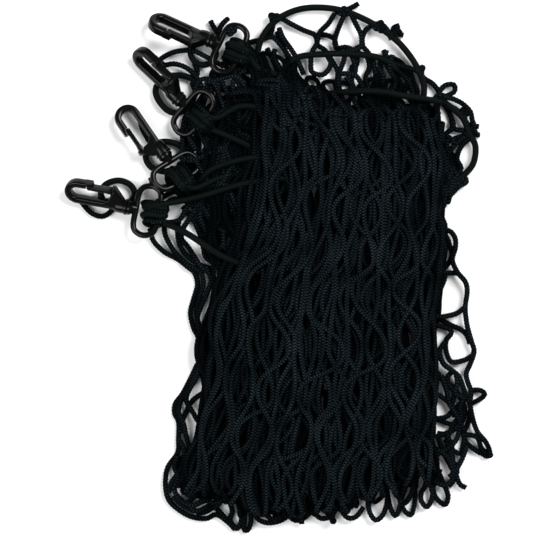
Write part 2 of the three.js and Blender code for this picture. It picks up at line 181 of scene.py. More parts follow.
class Form:
    """A solid form gathered from bars, plates and turned pieces."""

    def __init__(self):
        self.verts = []
        self.faces = []

    def rings(self, rings, closed=False):
        """Joins equal rings of points in order. Open ends are capped."""
        base, sides = len(self.verts), len(rings[0])
        for ring in rings:
            self.verts.extend(tuple(p) for p in ring)
        for r in range(len(rings) if closed else len(rings) - 1):
            first, second = base + r * sides, base + (r + 1) % len(rings) * sides
            for k in range(sides):
                n = (k + 1) % sides
                self.faces.append((first + k, first + n, second + n, second + k))
        if not closed:
            self.faces.append(tuple(base + k for k in reversed(range(sides))))
            self.faces.append(tuple(base + (len(rings) - 1) * sides + k for k in range(sides)))

    def bar(self, path, width, thickness, squareness, closed=False):
        """A bar along a flat path. Its section is round at squareness 1 and nears a rectangle towards 0."""
        path = np.asarray(path, float)
        if closed:
            tangent = unit(np.roll(path, -1, 0) - np.roll(path, 1, 0))
        else:
            tangent = unit(np.gradient(path, axis=0))
        turn = 2 * math.pi * np.arange(BAR_SIDES) / BAR_SIDES
        a = np.sign(np.cos(turn)) * np.abs(np.cos(turn)) ** squareness * width / 2
        b = np.sign(np.sin(turn)) * np.abs(np.sin(turn)) ** squareness * thickness / 2
        rings = []
        for (x, y), (dx, dy) in zip(path, tangent):
            rings.append(np.stack([x - a * dy, y + a * dx, b], 1))
        self.rings(rings, closed)

    def turned(self, profile):
        """A form turned about x, from pairs of place along it and radius."""
        angles = 2 * math.pi * np.arange(TURNED_SIDES) / TURNED_SIDES
        self.rings([[(x, r * math.cos(t), r * math.sin(t)) for t in angles] for x, r in profile])

    def plate(self, outline, thickness, edge):
        """A plate with rounded edges, from an outline that runs anticlockwise."""
        outline = np.asarray(outline, float)
        before, after = np.roll(outline, 1, 0), np.roll(outline, -1, 0)
        way = unit(unit(outline - before) + unit(after - outline))
        inward = np.stack([-way[:, 1], way[:, 0]], 1)
        heights = thickness / 2 - edge * (1 - np.cos(EDGE_TURN))
        insets = edge * (1 - np.sin(EDGE_TURN))
        rings = []
        for z, inset in list(zip(-heights, insets)) + list(zip(heights[::-1], insets[::-1])):
            rings.append(np.column_stack([outline + inward * inset, np.full(len(outline), z)]))
        self.rings(rings)

    def build(self, name, material, slot, body, matrix):
        mesh = bpy.data.meshes.new(name)
        mesh.from_pydata([tuple(MM * c for c in v) for v in self.verts], [], self.faces)
        mesh.transform(matrix)
        obj = add_piece(name, mesh, material, body)
        mesh.set_sharp_from_angle(angle=SHARP_ANGLE)
        return obj


def add_piece(name, mesh, material, body):
    mesh.validate()
    mesh.polygons.foreach_set("use_smooth", np.ones(len(mesh.polygons), bool))
    mesh.materials.append(material)
    obj = add_object(name, mesh)
    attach(obj, body)
    return obj


# Materials. The patches, the painted light and grain have no unit, apart from the depth of the grain in
# millimetres.
PATCH_SCALE = 55.0
PATCH_DETAIL = 4.0
PATCH_GAIN = 2.0
PATCH_OFFSET = -0.3
SHADED_SHARE = 0.2
CREST_SHARPNESS = 1.2
GRAIN_SCALE = 900.0
GRAIN_DETAIL = 3.0
GRAIN_DEPTH = 0.016


def set_inputs(owner, node, values):
    """Sets a node's inputs in a material or a world, and links those given as another node's output."""
    for socket, value in values.items():
        if isinstance(value, bpy.types.NodeSocket):
            owner.node_tree.links.new(value, node.inputs[socket])
        else:
            node.inputs[socket].default_value = value


def add_node(material, kind, values, **settings):
    node = material.node_tree.nodes.new("ShaderNode" + kind)
    for setting, value in settings.items():
        setattr(node, setting, value)
    set_inputs(material, node, values)
    return node


def make_material(name, color, roughness, specular):
    material = bpy.data.materials.new(name)
    material.use_nodes = True
    shader = material.node_tree.nodes["Principled BSDF"]
    set_inputs(material, shader, {"Base Color": (*color, 1), "Roughness": roughness,
                                  "Specular IOR Level": specular})
    return material, shader


def add_bump(material, shader, height, depth):
    bump = add_node(material, "Bump", {"Strength": 1.0, "Distance": depth * MM, "Height": height})
    set_inputs(material, shader, {"Normal": bump.outputs["Normal"]})


def braided(name, shaded_gap, lit_crest, roughness, specular, pitch, yarns, depth, shaded_below, unshaded_above):
    """Cord whose yarns cross: where two sets of helices meet, a stitch's crest gets a painted highlight and
    the gaps get painted shade.
    The painted highlight is stronger in random patches, and painted shade dims it fully below one height in
    millimetres and less and less up to the other."""
    material, shader = make_material(name, shaded_gap, roughness, specular)

    def calculate(operation, *values):
        return add_node(material, "Math", dict(enumerate(values)), operation=operation).outputs[0]

    uv = add_node(material, "UVMap", {}, uv_map="cord")
    split = add_node(material, "SeparateXYZ", {"Vector": uv.outputs["UV"]})
    along = calculate("MULTIPLY", split.outputs["X"], math.pi / pitch)
    around = calculate("MULTIPLY", split.outputs["Y"], 2 * math.pi * yarns)
    over = calculate("SINE", calculate("ADD", along, around))
    under = calculate("SINE", calculate("SUBTRACT", along, around))
    height = calculate("ABSOLUTE", calculate("MULTIPLY", over, under))
    place = add_node(material, "TexCoord", {}).outputs["Object"]
    # Random patches make the painted highlight on the crests stronger or weaker
    patches = add_node(material, "TexNoise", {"Vector": place, "Scale": PATCH_SCALE, "Detail": PATCH_DETAIL})
    patchy = calculate("MULTIPLY_ADD", patches.outputs["Fac"], PATCH_GAIN, PATCH_OFFSET)
    # Painted shade: below the first height a crest keeps only a small share of its painted highlight, and it
    # rises to all of it at the second height
    apart = add_node(material, "SeparateXYZ", {"Vector": place})
    painted_height_shade = add_node(material, "MapRange", {"Value": apart.outputs["Z"], "From Min": shaded_below * MM,
                                                "From Max": unshaded_above * MM, "To Min": SHADED_SHARE})
    painted_light_share = calculate("MULTIPLY", patchy, painted_height_shade.outputs["Result"])
    crest = calculate("MULTIPLY", calculate("POWER", height, CREST_SHARPNESS), painted_light_share)
    # The colour runs from painted shade in the gaps to a painted highlight on the crests
    mix = add_node(material, "Mix", {"A": (*shaded_gap, 1), "B": (*lit_crest, 1), "Factor": crest}, data_type="RGBA")
    set_inputs(material, shader, {"Base Color": mix.outputs["Result"]})
    add_bump(material, shader, height, depth)
    return material


def moulded(name, color, roughness, specular):
    """Plastic with a fine grain."""
    material, shader = make_material(name, color, roughness, specular)
    place = add_node(material, "TexCoord", {}).outputs["Object"]
    grain = add_node(material, "TexNoise", {"Vector": place, "Scale": GRAIN_SCALE, "Detail": GRAIN_DETAIL})
    add_bump(material, shader, grain.outputs["Fac"], GRAIN_DEPTH)
    return material


STITCH = 1.9
# Each look's first colour is painted shade in the gaps between yarns, and its second is a painted highlight
# on their crests
CORD_LOOK = dict(shaded_gap=(0.0002, 0.0005, 0.0006), lit_crest=(0.0185, 0.0280, 0.0335), roughness=0.8,
                 specular=0.01, pitch=STITCH, yarns=1, depth=0.5)
ELASTIC_LOOK = dict(shaded_gap=(0.0012, 0.0026, 0.0023), lit_crest=(0.0030, 0.0056, 0.0050), roughness=0.5,
                    specular=0.03, pitch=1.1, yarns=4, depth=0.1)
PLASTIC_LOOK = dict(color=(0.0010, 0.0012, 0.0014), roughness=0.18, specular=0.14)
# Painted shade by height. net_cord is dimmed below 13 mm and clear from 20 mm. net_cord_border is the same
# cord with its painted shade placed lower, from 0 to 14 mm, for the low border cords. Elastic is shaded from
# 0 to 20 mm.
cord_material = braided("net_cord", **CORD_LOOK, shaded_below=13.0, unshaded_above=20.0)
border_material = braided("net_cord_border", **CORD_LOOK, shaded_below=0.0, unshaded_above=14.0)
elastic_material = braided("elastic", **ELASTIC_LOOK, shaded_below=0.0, unshaded_above=20.0)
plastic_material = moulded("hook_plastic", **PLASTIC_LOOK)

# Swivel snap hooks. In a hook's own frame x runs from the swivel to the nose, and y to the gate's side.
BAR = 4.4
BAR_START = 1.0
BAR_SQUARENESS = 0.5
SPINE_POINTS = 12
BEND_POINTS = 19
NOSE_POINTS = 5
HOOK_THICKNESS = 6.0
HOOK_EDGE = 1.0
LOOP_PITCH = 12.0
BEND_X = 31.9
NOSE_X = 22.0
LIP_LENGTH = 4.4
LIP_OVERLAP = 1.0
LIP_SLANT = 0.6
LIP_TOP_Y = LOOP_PITCH + BAR / 2 - 0.1
LIP_THICKNESS = HOOK_THICKNESS - 0.4
LIP_EDGE = 0.5
BARREL_RADIUS = 5.0
COLLAR_LENGTH = 1.8
COLLAR_STEP = 0.6
COLLAR_EDGE = 0.4
BARREL_LENGTH = 6.5
BARREL_ROUNDING = 1.0
BARREL_DROP = 0.5
BARREL_END = 14.0
BARREL_TIP = 0.2
CLEARANCE = 0.3
GATE_THICKNESS = 2.6
GATE_WIDTH = 5.0
GATE_EDGE = 0.6
GATE_NECK = 2.4
GATE_TIP_GAP = 0.4
GATE_TIP_CUT = 0.8
KNUCKLE_RADIUS = 1.7
KNUCKLE_X = 11.4
KNUCKLE_POINTS = 9
GATE_Y = LOOP_PITCH - CLEARANCE - GATE_THICKNESS / 2
SOCKET_RADIUS = KNUCKLE_RADIUS + CLEARANCE
SOCKET_FROM = -108
SOCKET_TO = -198
SOCKET_POINTS = 7
CROTCH_X = BARREL_END + 0.5
CROTCH_FILLET = 2.4
CROTCH_RISE = 1.4
HEEL_WALL = 2.6
HEEL_BACK_Y = -1.0
HEEL_TOP_FROM = KNUCKLE_X - 1.2
HEEL_TOP_TO = KNUCKLE_X - 3.4
HEEL_FOOT_X = 2.2
HEEL_FOOT_Y = BARREL_RADIUS - 0.6
# The heel's top is a little lower than in the solids, so that hook 3 turns clear of hook 2's eye
HEEL_TOP_Y = LOOP_PITCH + 1.0
EYE_BAR = 3.8
EYE_WIDTH = 35.0
EYE_NEAR = -5.5
EYE_FAR = -19.7
EYE_CORNER = 6.4
EYE_CORNER_CUT = 0.3 * EYE_CORNER
EYE_STEP = 1.2
STEM_RADIUS = 2.2
STEM_SINK = 0.8
STEM_TIP = 0.4
STEM_NECK = 1.4
STEM_SWELL = 1.0
STEM_FLARE = 1.9
STEM_END = 1.5
FLANGE_RADIUS = 4.6
FLANGE_X = -2.3
FLANGE_EDGE = 0.3
HOOK_DIP = 6

# Where each swivel lies, how the hook and its eye are turned, and the elastic's route: over the far bar of
# the eye on over_side and back under it, with both ends tucked in. Further turns have tails within tail.
HOOKS = [
    dict(at=(-40, 141.5, 8.2), heading=155, roll=46, eye=6, over_side=-1, tail=(10, 15),
         over=[(16, 112, 9.3), (8, 117, 9.3), (-4, 121.5, 9.2), (-12, 125.5, 9.7)],
         under=[(-25, 119, 6.2), (-16, 107, 5.3), (-8, 98, 6.0)]),
    dict(at=(-60, 105, 8.2), heading=137, roll=125, eye=-14, over_side=-1, tail=(10, 15),
         over=[(6, 98, 12.5), (-19, 100.5, 12.8), (-28, 97.5, 13), (-36, 93, 13.8)],
         under=[(-37, 85, 11.6), (-20, 77.5, 11), (-12, 73, 6), (-4, 70, 4)]),
    dict(at=(-69, 70.5, 9.4), heading=124.5, roll=10, eye=18, over_side=1, tail=(10, 15),
         over=[(-8, 61, 4), (-19, 60, 5), (-36, 55.5, 9), (-50, 49.5, 13)],
         under=[(-49, 53.5, 6.8), (-38, 62, 11.8), (-17, 68, 12.8), (8, 69, 12)]),
    dict(at=(-92, 37.8, 8.2), heading=170, roll=142, eye=5, over_side=-1, tail=(2, 4),
         over=[(8, 56, 12.5), (-19, 52.5, 13), (-48, 44, 12.2)],
         under=[(-56, 22, 10.4), (-34, 8, 12.8), (-20, 2, 13), (-10, -3, 12)]),
]


def hook_matrix(hook, roll):
    heading = Matrix.Rotation(math.radians(hook["heading"]), 4, "Z")
    dip = Matrix.Rotation(math.radians(HOOK_DIP), 4, "Y")
    return Matrix.Translation(hook["at"]) @ heading @ dip @ Matrix.Rotation(math.radians(roll), 4, "X")


def arc(x, y, radius, start, end, count):
    angles = np.radians(np.linspace(start, end, count))
    return [(x + radius * math.cos(t), y + radius * math.sin(t)) for t in angles]


def hook_body():
    """The bar with its bend and lip, the heel that carries the gate, and the barrel round the swivel."""
    form = Form()
    lip_start = NOSE_X + LIP_LENGTH
    spine = [(x, 0.0) for x in np.linspace(BAR_START, BEND_X, SPINE_POINTS)[:-1]]
    bend = arc(BEND_X, LOOP_PITCH / 2, LOOP_PITCH / 2, -90, 90, BEND_POINTS)
    nose = [(x, LOOP_PITCH) for x in np.linspace(BEND_X, lip_start, NOSE_POINTS)[1:]]
    form.bar(spine + bend + nose, BAR, HOOK_THICKNESS, BAR_SQUARENESS)
    lip_end = lip_start + LIP_OVERLAP
    lip = [(NOSE_X, LOOP_PITCH), (lip_end, LOOP_PITCH), (lip_end, LIP_TOP_Y),
           (NOSE_X + LIP_SLANT, LIP_TOP_Y)]
    form.plate(lip, LIP_THICKNESS, LIP_EDGE)
    heel = [(BAR_START, HEEL_BACK_Y), (CROTCH_X, HEEL_BACK_Y), (CROTCH_X, BAR / 2),
            (CROTCH_X - CROTCH_FILLET, BAR / 2 + CROTCH_RISE),
            (KNUCKLE_X - CLEARANCE, GATE_Y - SOCKET_RADIUS - HEEL_WALL)]
    heel += arc(KNUCKLE_X, GATE_Y, SOCKET_RADIUS, SOCKET_FROM, SOCKET_TO, SOCKET_POINTS)
    heel += [(HEEL_TOP_FROM, HEEL_TOP_Y), (HEEL_TOP_TO, HEEL_TOP_Y), (HEEL_FOOT_X, HEEL_FOOT_Y),
             (BAR_START, BAR / 2)]
    form.plate(heel, HOOK_THICKNESS, HOOK_EDGE)
    drum = BARREL_RADIUS - COLLAR_STEP
    form.turned([(0, STEM_RADIUS), (0, BARREL_RADIUS - COLLAR_EDGE), (COLLAR_EDGE, BARREL_RADIUS),
                 (COLLAR_LENGTH - COLLAR_EDGE, BARREL_RADIUS), (COLLAR_LENGTH, BARREL_RADIUS - COLLAR_EDGE),
                 (COLLAR_LENGTH, drum), (BARREL_LENGTH - BARREL_ROUNDING, drum),
                 (BARREL_LENGTH + BARREL_ROUNDING, drum - BARREL_DROP), (BARREL_END, BARREL_TIP)])
    return form


def hook_gate():
    """The sprung tongue, from its round root to its tip under the lip."""
    form = Form()
    tip = NOSE_X + LIP_LENGTH - GATE_TIP_GAP
    low, high = GATE_Y - GATE_THICKNESS / 2, GATE_Y + GATE_THICKNESS / 2
    neck = KNUCKLE_X + GATE_NECK
    outline = [(neck, low), (tip - GATE_TIP_CUT, low), (tip, low + GATE_TIP_CUT), (tip, high), (neck, high)]
    outline += arc(KNUCKLE_X, GATE_Y, KNUCKLE_RADIUS, 90, 270, KNUCKLE_POINTS)
    form.plate(outline, GATE_WIDTH, GATE_EDGE)
    return form


def hook_eye():
    """The wide eye on its flanged stem."""
    form = Form()
    half = (EYE_WIDTH - EYE_BAR) / 2
    side = [(EYE_NEAR, half - EYE_CORNER), (EYE_NEAR - EYE_CORNER_CUT, half - EYE_CORNER_CUT),
            ((EYE_NEAR + EYE_FAR) / 2, half), (EYE_FAR + EYE_CORNER_CUT, half - EYE_CORNER_CUT),
            (EYE_FAR, half - EYE_CORNER)]
    ring = [(EYE_NEAR, 0)] + side + [(EYE_FAR, 0)] + [(x, -y) for x, y in reversed(side)]
    line = smooth([(x, y, 0) for x, y in ring], EYE_STEP, closed=True)[:-1]
    form.bar(line[:, :2], EYE_BAR, EYE_BAR, 1.0, closed=True)
    form.turned([(EYE_NEAR - STEM_SINK, STEM_TIP), (EYE_NEAR - STEM_SINK, STEM_RADIUS),
                 (EYE_NEAR + STEM_NECK, STEM_RADIUS + STEM_SWELL), (FLANGE_X, STEM_RADIUS + STEM_FLARE),
                 (FLANGE_X + FLANGE_EDGE, FLANGE_RADIUS), (-CLEARANCE - FLANGE_EDGE, FLANGE_RADIUS),
                 (-CLEARANCE, FLANGE_RADIUS - FLANGE_EDGE), (-CLEARANCE, STEM_RADIUS),
                 (STEM_END, STEM_RADIUS)])
    return form


forms = {"body": hook_body(), "gate": hook_gate(), "eye": hook_eye()}
for number, hook in enumerate(HOOKS, 1):
    bodies = {"body": "hook_%d" % number, "gate": "gate_%d" % number, "eye": "bundle"}
    for piece, form in forms.items():
        matrix = hook_matrix(hook, hook["eye"] if piece == "eye" else hook["roll"])
        matrix.translation = MM * matrix.translation
        name = "hook_%d_%s_smooth" % (number, piece)
        shown = form.build(name, plastic_material, "hook_plastic", bodies[piece], matrix)
        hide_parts("hook_%d_%s" % (number, piece))

# Elastic border cord, as in the solids with longer ends, and CROSS. A row without a height is at ELASTIC_Z.
ELASTIC_Z = 5.3
ELASTIC_SIDES = 14
ELASTIC_STEP = 2.0
LEAD_STEP = 1.5
ARCH = [(1, 106, 13), (-5, 111, 12), (-10.5, 119, 10), (-11.8, 128, 7.5), (-9, 142, 5.6), (-0.5, 153.5),
        (12, 160.3), (26, 162.2), (42.5, 160), (60, 152.5), (75, 142), (85.5, 129.5), (91.5, 117),
        (92.5, 110), (91, 100)]
INNER = [(8, 127), (15, 131.5, 6), (30, 133, 7), (45, 133.3, 7), (60, 131.8, 7), (70, 128.5, 6), (76, 123)]
SIDE = [(104, 104, 4), (112, 98), (117.5, 92), (121, 83), (124.5, 76), (123.5, 66), (119, 59.5), (113, 55),
        (104, 50, 4)]
CROSS = [(30, 108, 6), (40, 109, 9), (50, 109.5, 13), (60, 109.5, 15), (70, 108.5, 15), (80, 106.5, 13),
         (92, 105, 10), (104, 103, 7)]
EYE_LOOP = [(0, 4.2, 1), (5, 2.1, 0.8), (7.4, 0, 0), (5, -2.1, -0.8), (0, -4.2, -1)]
EYE_REACH = EYE_BAR / 2 + ELASTIC / 2 + 2 * CLEARANCE

# Further turns of cord in the eyes: how many, how far apart, how far they stray and how deep they go
HITCH_TURNS = 2
HITCH_SPREAD = 6.0
CORD_TURNS = 3
CORD_SPREAD = 5.5
TURN_SHIFT = 0.5
TURN_DEPTHS = (7, 11)
TURN_LEAD = 5.0
TURN_WIDTH = 2.0
TURN_STEP = 1.0


def placed(matrix, points):
    return np.array([matrix @ Vector(p) for p in points])


def lead_line(hook):
    loop = [(EYE_FAR + x, hook["over_side"] * y, EYE_REACH * z) for x, y, z in EYE_LOOP]
    through = placed(hook_matrix(hook, hook["eye"]), loop)
    return smooth(np.vstack([hook["over"], through, hook["under"]]), LEAD_STEP)


def eye_turns(hook, count, spread, diameter):
    """Turns of cord round the far bar of a hook's eye, side by side, each from the bundle and back to it.
    A place is along the eye, across it, and a height as a share of the reach."""
    reach = (EYE_BAR + diameter) / 2 + 2 * CLEARANCE
    matrix = hook_matrix(hook, hook["eye"])
    lines = []
    for k in range(count):
        y = spread * (k - (count - 1) / 2) + rng.normal(0, TURN_SHIFT)
        depth, tail = rng.uniform(*TURN_DEPTHS), rng.uniform(*hook["tail"])
        places = [(-tail, 0.4 * y, 0.5), (-TURN_LEAD, 0.8 * y, 0.9), (0, y, 1.0), (0.7 * depth, y, 0.8),
                  (depth, y + TURN_WIDTH / 2, 0), (0.7 * depth, y + TURN_WIDTH, -0.8),
                  (0, y + TURN_WIDTH, -1.0), (-tail, 0.5 * y + TURN_WIDTH, -0.6)]
        points = placed(matrix, [(EYE_FAR + x, py, reach * z) for x, py, z in places])
        points[[0, -1], 2] = diameter / 2
        line = smooth(points, TURN_STEP)
        line[:, 2] = np.maximum(line[:, 2], diameter / 2)
        lines.append(line)
    return lines


# The ring of elastic under each hook's neck: a closed route given in photo pixels, with heights in
# millimetres. It leaves room for the hook to turn.
HOOK_RINGS = [
    [(216, 52, 3.6), (212, 60, 4.2), (203, 64, 3.6), (194, 60, 3.0), (190, 52, 3.6), (194, 44, 4.2),
     (203, 40, 3.6), (212, 44, 3.0)],
    [(159, 80, 2.3), (168, 75, 2.8), (184, 75, 3.2), (195, 81, 3.2), (195, 92, 2.6), (187, 107, 2.3),
     (174, 112, 2.6), (163, 106, 3.8), (155, 92, 3.6)],
    [(185, 156, 3.8), (179, 167, 4.4), (165, 171, 3.8), (151, 167, 3.2), (145, 156, 3.8), (151, 145, 4.4),
     (165, 141, 3.8), (179, 145, 3.2)],
    [(134, 193, 3.0), (129, 202, 2.4), (117, 206, 2.4), (105, 202, 3.6), (100, 193, 4.4), (105, 184, 4.4),
     (117, 180, 3.4), (129, 184, 3.0)],
]


def elastic_piece(name, lines):
    return cord_piece(name, lines, ELASTIC, ELASTIC_SIDES, elastic_material)


def elastic_run(rows):
    return smooth([row if len(row) == 3 else (*row, ELASTIC_Z) for row in rows], ELASTIC_STEP)


routes = {"elastic_arch": ARCH, "elastic_inner": INNER, "elastic_side": SIDE}
runs = {name: elastic_run(rows) for name, rows in routes.items()}
for number, (hook, ring) in enumerate(zip(HOOKS, HOOK_RINGS), 1):
    name = "elastic_lead_%d" % number
    runs[name] = lead_line(hook)
    lines = eye_turns(hook, HITCH_TURNS, HITCH_SPREAD, ELASTIC)
    lines.insert(0, smooth(route(ring), LEAD_STEP, closed=True))
    elastic_piece("elastic_hitch_%d" % number, lines)
runs["elastic_cross"] = elastic_run(CROSS)
for name, line in runs.items():
    shown = elastic_piece(name + "_cover", [line])
    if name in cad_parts:
        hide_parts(name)

# The folded net: strands that run up and down through its layers and touch a neighbour at each joint.
# A SHIFT is how far something strays, and WAY_TURN, WAY_RISE and FOLD_TURN how far a strand's way does.
CORD_SIDES = 8
CORD_STEP = 2.4
TOUCH = 0.86 * CORD
ROW_PITCH = 27.0
LEAST_ROWS = 4
UNEVEN = 0.35
UNEVEN_KEPT = 0.6
DRIFT_POINTS = 7
ROW_SHIFT = 3.0
ACROSS_SHIFT = 1.2
HEIGHT_SHIFT = 0.5
WAY_TURN = 0.10
WAY_RISE = 0.03
PAIR_LEAN = 0.4
SLOPE_REACH = 8.0
FOLD_SHIFT = 3.5
FOLD_INSET = 1.0
FOLD_HEIGHT_SHIFT = 0.6
FOLD_TURN = 0.4
FOLD_RISE = 0.8
EDGE_LOOP = dict(reach=8.0, sink=7.0)

# Stretches of the net that are drawn together
GATHER_UNEVEN = 0.6
GATHER_ROW_SHIFT = 0.05
GATHER_SHIFT = (1.5, 1.5, 0.9)
GATHER_TURN = 0.35
GATHER_LOOP = dict(reach=3.0, sink=2.0)


def table(*rows):
    """A function that gives the value at a place, between the rows."""
    places = np.array(rows, float)
    return lambda place: np.interp(place, places[:, 0], places[:, 1])


# Each layer's height, how far its middle is lifted, and its edges: top and foot are (share across, y), and
# left and right are (y, x)
LAYERS = [
    dict(z=1.7, lift=0.0,
         top=table((0, 108), (0.2, 121), (0.35, 116), (0.45, 108), (0.7, 103), (1, 100)),
         foot=table((0, -140), (0.12, -145), (0.3, -154), (0.6, -152), (0.85, -140), (1, -132)),
         left=table((-160, -50), (-144, -58), (-119, -58), (-106, -49), (-92, -44), (-79, -43), (-65, -44),
                    (-52, -46), (-38, -43), (-20, -39), (0, -37), (20, -42), (36, -50), (60, -56), (73, -54),
                    (98, -45), (129, -12)),
         right=table((-160, 96), (-137, 98), (-108, 99), (-65, 100), (-47, 98), (-32, 99), (0, 103),
                     (42, 104), (55, 110), (65, 110), (75, 105), (95, 103), (110, 100), (129, 80))),
    dict(z=6.0, lift=1.0,
         top=table((0, 106), (0.2, 118), (0.35, 113), (0.45, 106), (0.7, 101), (1, 98)),
         foot=table((0, -139), (0.12, -143), (0.3, -152), (0.6, -150), (0.85, -138), (1, -130)),
         left=table((-160, -49), (-144, -56), (-119, -55), (-106, -48), (-79, -42), (-52, -44), (-20, -38),
                    (0, -36), (20, -40), (48, -46), (73, -44), (98, -35), (117, -19)),
         right=table((-160, 95), (-137, 97), (-108, 98), (-65, 99), (-47, 97), (-32, 98), (0, 102),
                     (42, 103), (60, 107), (75, 104), (95, 101), (110, 98), (129, 82))),
    dict(z=10.4, lift=1.6,
         top=table((0, 123), (0.15, 123), (0.25, 114), (0.4, 107), (0.7, 103), (1, 100)),
         foot=table((0, -138), (0.12, -142), (0.3, -150), (0.6, -149), (0.85, -137), (1, -129)),
         left=table((-156, -50), (-125, -54), (-106, -48), (-79, -42), (-26, -38), (4, -30), (27, -23),
                    (45, -20), (70, -16), (98, -11), (129, -8)),
         right=table((-156, 94), (-125, 97), (-65, 98), (-32, 97), (0, 101), (42, 102), (73, 103), (98, 99),
                     (117, 90))),
    dict(z=14.4, lift=2.0,
         top=table((0, 124), (0.15, 126), (0.25, 115), (0.4, 108), (0.7, 104), (1, 101)),
         foot=table((0, -137), (0.12, -141), (0.3, -149), (0.6, -148), (0.85, -136), (1, -128)),
         left=table((-156, -49), (-125, -52), (-106, -47), (-79, -42), (-26, -37), (-11, -32), (4, -23),
                    (27, -13), (46, -9), (70, -7), (102, -4), (129, -6)),
         right=table((-156, 93), (-125, 96), (-65, 97), (-32, 96), (0, 100), (42, 101), (73, 102), (104, 97),
                     (129, 82))),
]


def wander(rows, columns, keep, amount):
    """Numbers that drift from one row to the next."""
    out = rng.normal(0, 1, (rows, columns))
    for r in range(1, rows):
        out[r] = keep * out[r - 1] + math.sqrt(1 - keep**2) * out[r]
    return amount * out


def drift(count, amount):
    """Numbers that change slowly across a row."""
    places = np.linspace(0, 1, DRIFT_POINTS)
    return np.interp(np.linspace(0, 1, count), places, rng.normal(0, amount, DRIFT_POINTS))


def strand_places(rows, strands, uneven):
    """Where each strand lies across each row, from 0 to 1."""
    gaps = np.exp(wander(rows, strands, UNEVEN_KEPT, uneven))
    middles = (np.cumsum(gaps, 1) - gaps / 2) / gaps.sum(1, keepdims=True)
    return 0.5 + (middles - 0.5) * (1 + 1 / strands)


def joined_pairs(row, strands):
    """The strands that meet at each joint of a row, the other neighbour from one row to the next."""
    odd = row % 2
    pairs = [[k, k + 1] for k in range(odd, strands - 1, 2)]
    return pairs + [[0]] * odd + [[strands - 1]] * ((strands - odd) % 2)


def net_lines(points, ways, rows, reach, sink):
    """Lines along the strands, and loops that join their ends in pairs at the two edges of the net."""
    strands = len(points)
    lines = [s_curves(p, w, CORD_STEP) for p, w in zip(points, ways)]
    for end, outward, pairs in ((0, -1, joined_pairs(1, strands)), (-1, 1, joined_pairs(rows, strands))):
        for pair in pairs:
            if len(pair) == 1:
                continue
            one, two = [np.array(points[k][end]) for k in pair]
            out_one, out_two = [outward * np.array(ways[k][end]) for k in pair]
            middle = (one + two) / 2 + reach * unit(out_one + out_two)
            middle[2] = max(CORD / 2, middle[2] - sink)
            lines.append(s_curves([one, middle, two], [out_one, unit(two - one), -out_two], CORD_STEP))
    return lines


def across(layer, y, share):
    """The x at a share of the way across a layer."""
    return layer["left"](y) + (layer["right"](y) - layer["left"](y)) * share


def slope(edge, y):
    """How far an edge leans."""
    return (edge(y + SLOPE_REACH) - edge(y - SLOPE_REACH)) / (2 * SLOPE_REACH)


def folded_net(strands, raised):
    """Lines of a net that goes back and forth through LAYERS."""
    heights = [layer["top"](0.5) - layer["foot"](0.5) for layer in LAYERS]
    counts = [max(LEAST_ROWS, int(round(height / ROW_PITCH))) for height in heights]
    centre = strand_places(sum(counts), strands, UNEVEN)
    for first in np.cumsum(counts)[:-1]:
        centre[first] = centre[first - 1]
    points = [[] for _ in range(strands)]
    ways = [[] for _ in range(strands)]
    row = 0
    for number, layer in enumerate(LAYERS):
        heads = -1 if number % 2 == 0 else 1
        for step in range(counts[number]):
            share = (step + 0.5) / counts[number]
            share = share if heads > 0 else 1 - share
            slow = drift(strands, ROW_SHIFT)
            for pair in joined_pairs(row, strands):
                u = centre[row, pair].mean()
                y = layer["foot"](u) + (layer["top"](u) - layer["foot"](u)) * share
                y += slow[pair[0]] + rng.normal(0, ROW_SHIFT)
                x = across(layer, y, u) + rng.normal(0, ACROSS_SHIFT)
                z = layer["z"] + raised + layer["lift"] * math.sin(math.pi * u) + rng.normal(0, HEIGHT_SHIFT)
                leans = slope(layer["left"], y) * (1 - u) + slope(layer["right"], y) * u
                way = [heads * leans + rng.normal(0, WAY_TURN), heads, rng.normal(0, WAY_RISE)]
                rise = rng.normal(0, PAIR_LEAN)
                for side, strand in zip((-1, 1), pair):
                    apart = side * TOUCH / 2 if len(pair) == 2 else 0
                    points[strand].append((x + apart, y, z + side * rise))
                    ways[strand].append(unit(np.array(way)))
            row += 1
        if number + 1 == len(LAYERS):
            break
        after = LAYERS[number + 1]
        for strand in range(strands):
            u = centre[row - 1, strand]
            fold = layer["foot"](u) if heads < 0 else layer["top"](u)
            beyond = fold + heads * (rng.normal(0, FOLD_SHIFT) - FOLD_INSET)
            mean_z = (layer["z"] + after["z"]) / 2 + raised + rng.normal(0, FOLD_HEIGHT_SHIFT)
            points[strand].append((across(layer, fold, u), beyond, mean_z))
            ways[strand].append(unit(np.array([rng.normal(0, FOLD_TURN), 0, FOLD_RISE])))
    return net_lines(points, ways, row, **EDGE_LOOP)


def gathered_net(edge, root, strands, rows):
    """Lines of a stretch of net drawn together between two routes in photo pixels."""
    edge, root = route(edge), route(root)
    at_edge, at_root = lengths(edge) / lengths(edge)[-1], lengths(root) / lengths(root)[-1]
    centre = strand_places(rows, strands, GATHER_UNEVEN)
    points = [[] for _ in range(strands)]
    ways = [[] for _ in range(strands)]
    for row in range(rows):
        for pair in joined_pairs(row, strands):
            u = centre[row, pair].mean()
            start = np.array([np.interp(u, at_edge, edge[:, k]) for k in range(3)])
            end = np.array([np.interp(u, at_root, root[:, k]) for k in range(3)])
            way = unit(end - start)
            sideways = np.array([way[1], -way[0], 0])
            share = row / (rows - 1) + rng.normal(0, GATHER_ROW_SHIFT)
            place = start + (end - start) * share + rng.normal(0, GATHER_SHIFT)
            way = unit(way + sideways * rng.normal(0, GATHER_TURN))
            for side, strand in zip((1, -1), pair):
                apart = side * TOUCH / 2 if len(pair) == 2 else 0
                points[strand].append(place + sideways * apart)
                ways[strand].append(way)
    return net_lines(points, ways, rows, **GATHER_LOOP)


